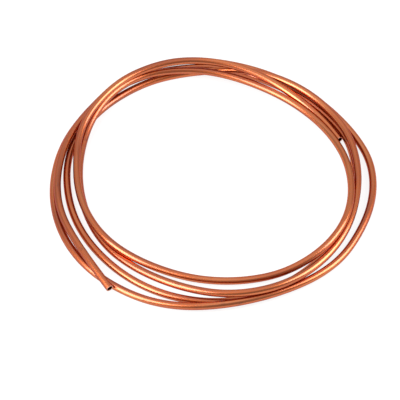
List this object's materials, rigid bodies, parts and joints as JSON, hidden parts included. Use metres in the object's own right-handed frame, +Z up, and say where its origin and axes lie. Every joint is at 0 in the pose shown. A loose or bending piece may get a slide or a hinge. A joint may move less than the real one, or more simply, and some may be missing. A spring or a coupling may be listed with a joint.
{
  "type": "copper tube coil",
  "caption": "Loose flat coil of bare copper tube: one hollow tube bent round in open turns that cross each other, with two open cut ends.",
  "frame": {"origin": "on the floor, under the middle of the coil's outline", "axes": "+Z up, square to the floor that the coil lies on; +Y away from the open front end's side, which is in front on the left"},
  "size_m": [0.2816, 0.2846, 0.0225],
  "materials": {
    "copper": "bright drawn copper, lightly tarnished"
  },
  "bodies": {
    "root": {"copper_tube": "copper"}
  },
  "joints": []
}
